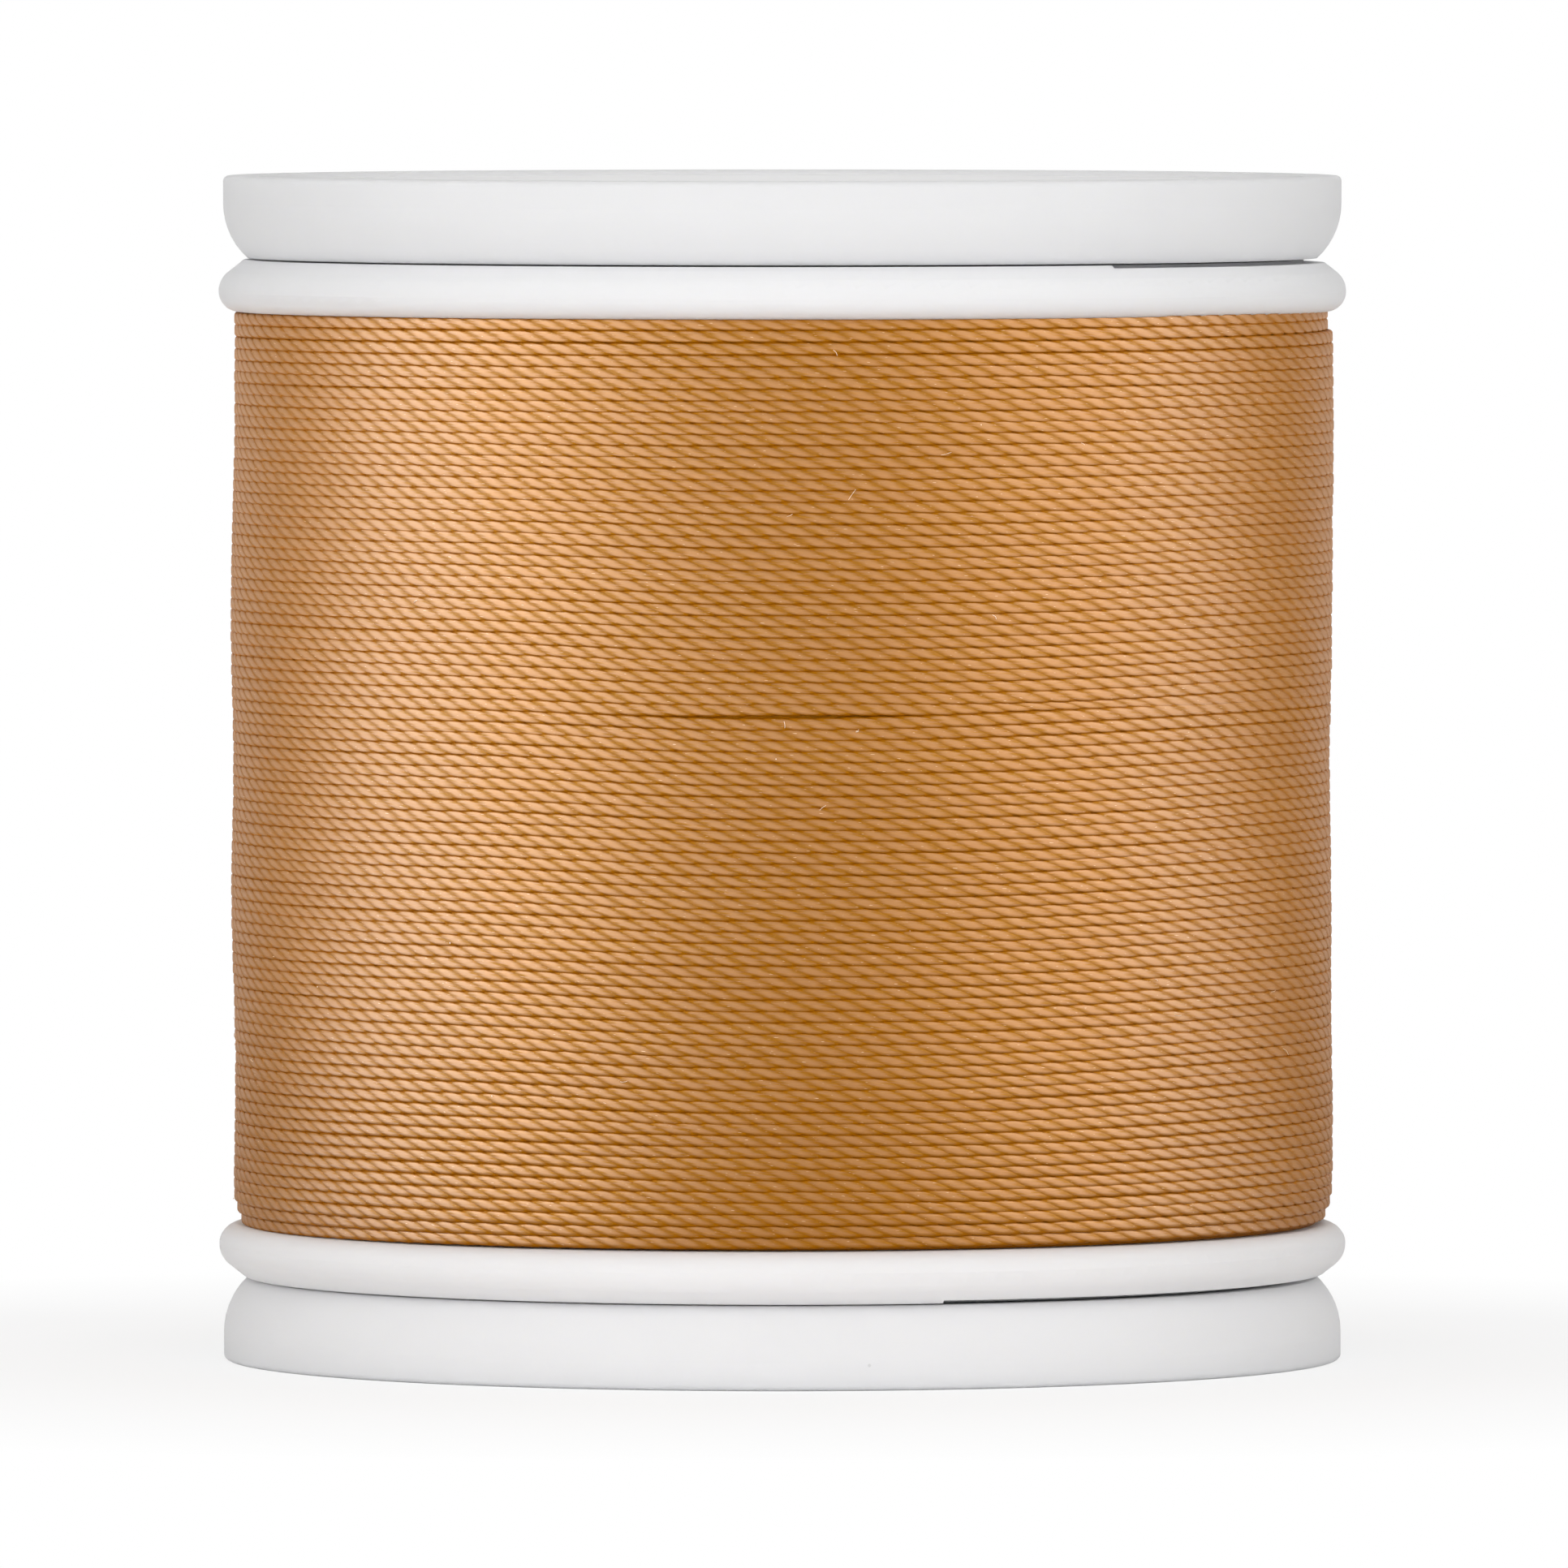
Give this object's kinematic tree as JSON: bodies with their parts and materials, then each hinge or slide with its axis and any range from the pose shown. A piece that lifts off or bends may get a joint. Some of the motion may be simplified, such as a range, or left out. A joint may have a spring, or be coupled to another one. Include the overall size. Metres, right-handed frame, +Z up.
{
  "type": "thread spool",
  "caption": "Flanged thread spool wound with waxed sewing thread, with snap-in end caps that pull out to open a groove for nipping the thread's end.",
  "frame": {"origin": "centre of the lower end cap's rim, on the plane that the spool stands on", "axes": "+Z up the spool's axis from the lower cap to the upper cap, -Y towards the side seen in the picture, +X to that side's right"},
  "size_m": [0.0412, 0.0412, 0.0432],
  "materials": {
    "barrel_plastic": "satin moulded white polypropylene",
    "cap_plastic": "satin moulded white polypropylene",
    "thread": "waxed three-ply twisted thread with a soft sheen",
    "label_paper": "plain coated paper, no print"
  },
  "bodies": {
    "wound_barrel": {"barrel": "barrel_plastic", "thread_inner_layers": "thread", "thread_outer_layer": "thread", "thread_tail": "thread"},
    "upper_end": {"top_cap": "cap_plastic", "top_label": "label_paper"},
    "lower_end": {"bottom_cap": "cap_plastic", "bottom_label": "label_paper"}
  },
  "joints": [
    {"name": "upper_cap_pull", "type": "slide", "parent": "wound_barrel", "child": "upper_end", "axis": [0, 0, 1], "range_m": [0, 0.0015]},
    {"name": "lower_cap_pull", "type": "slide", "parent": "wound_barrel", "child": "lower_end", "axis": [0, 0, -1], "range_m": [0, 0.0015]}
  ]
}
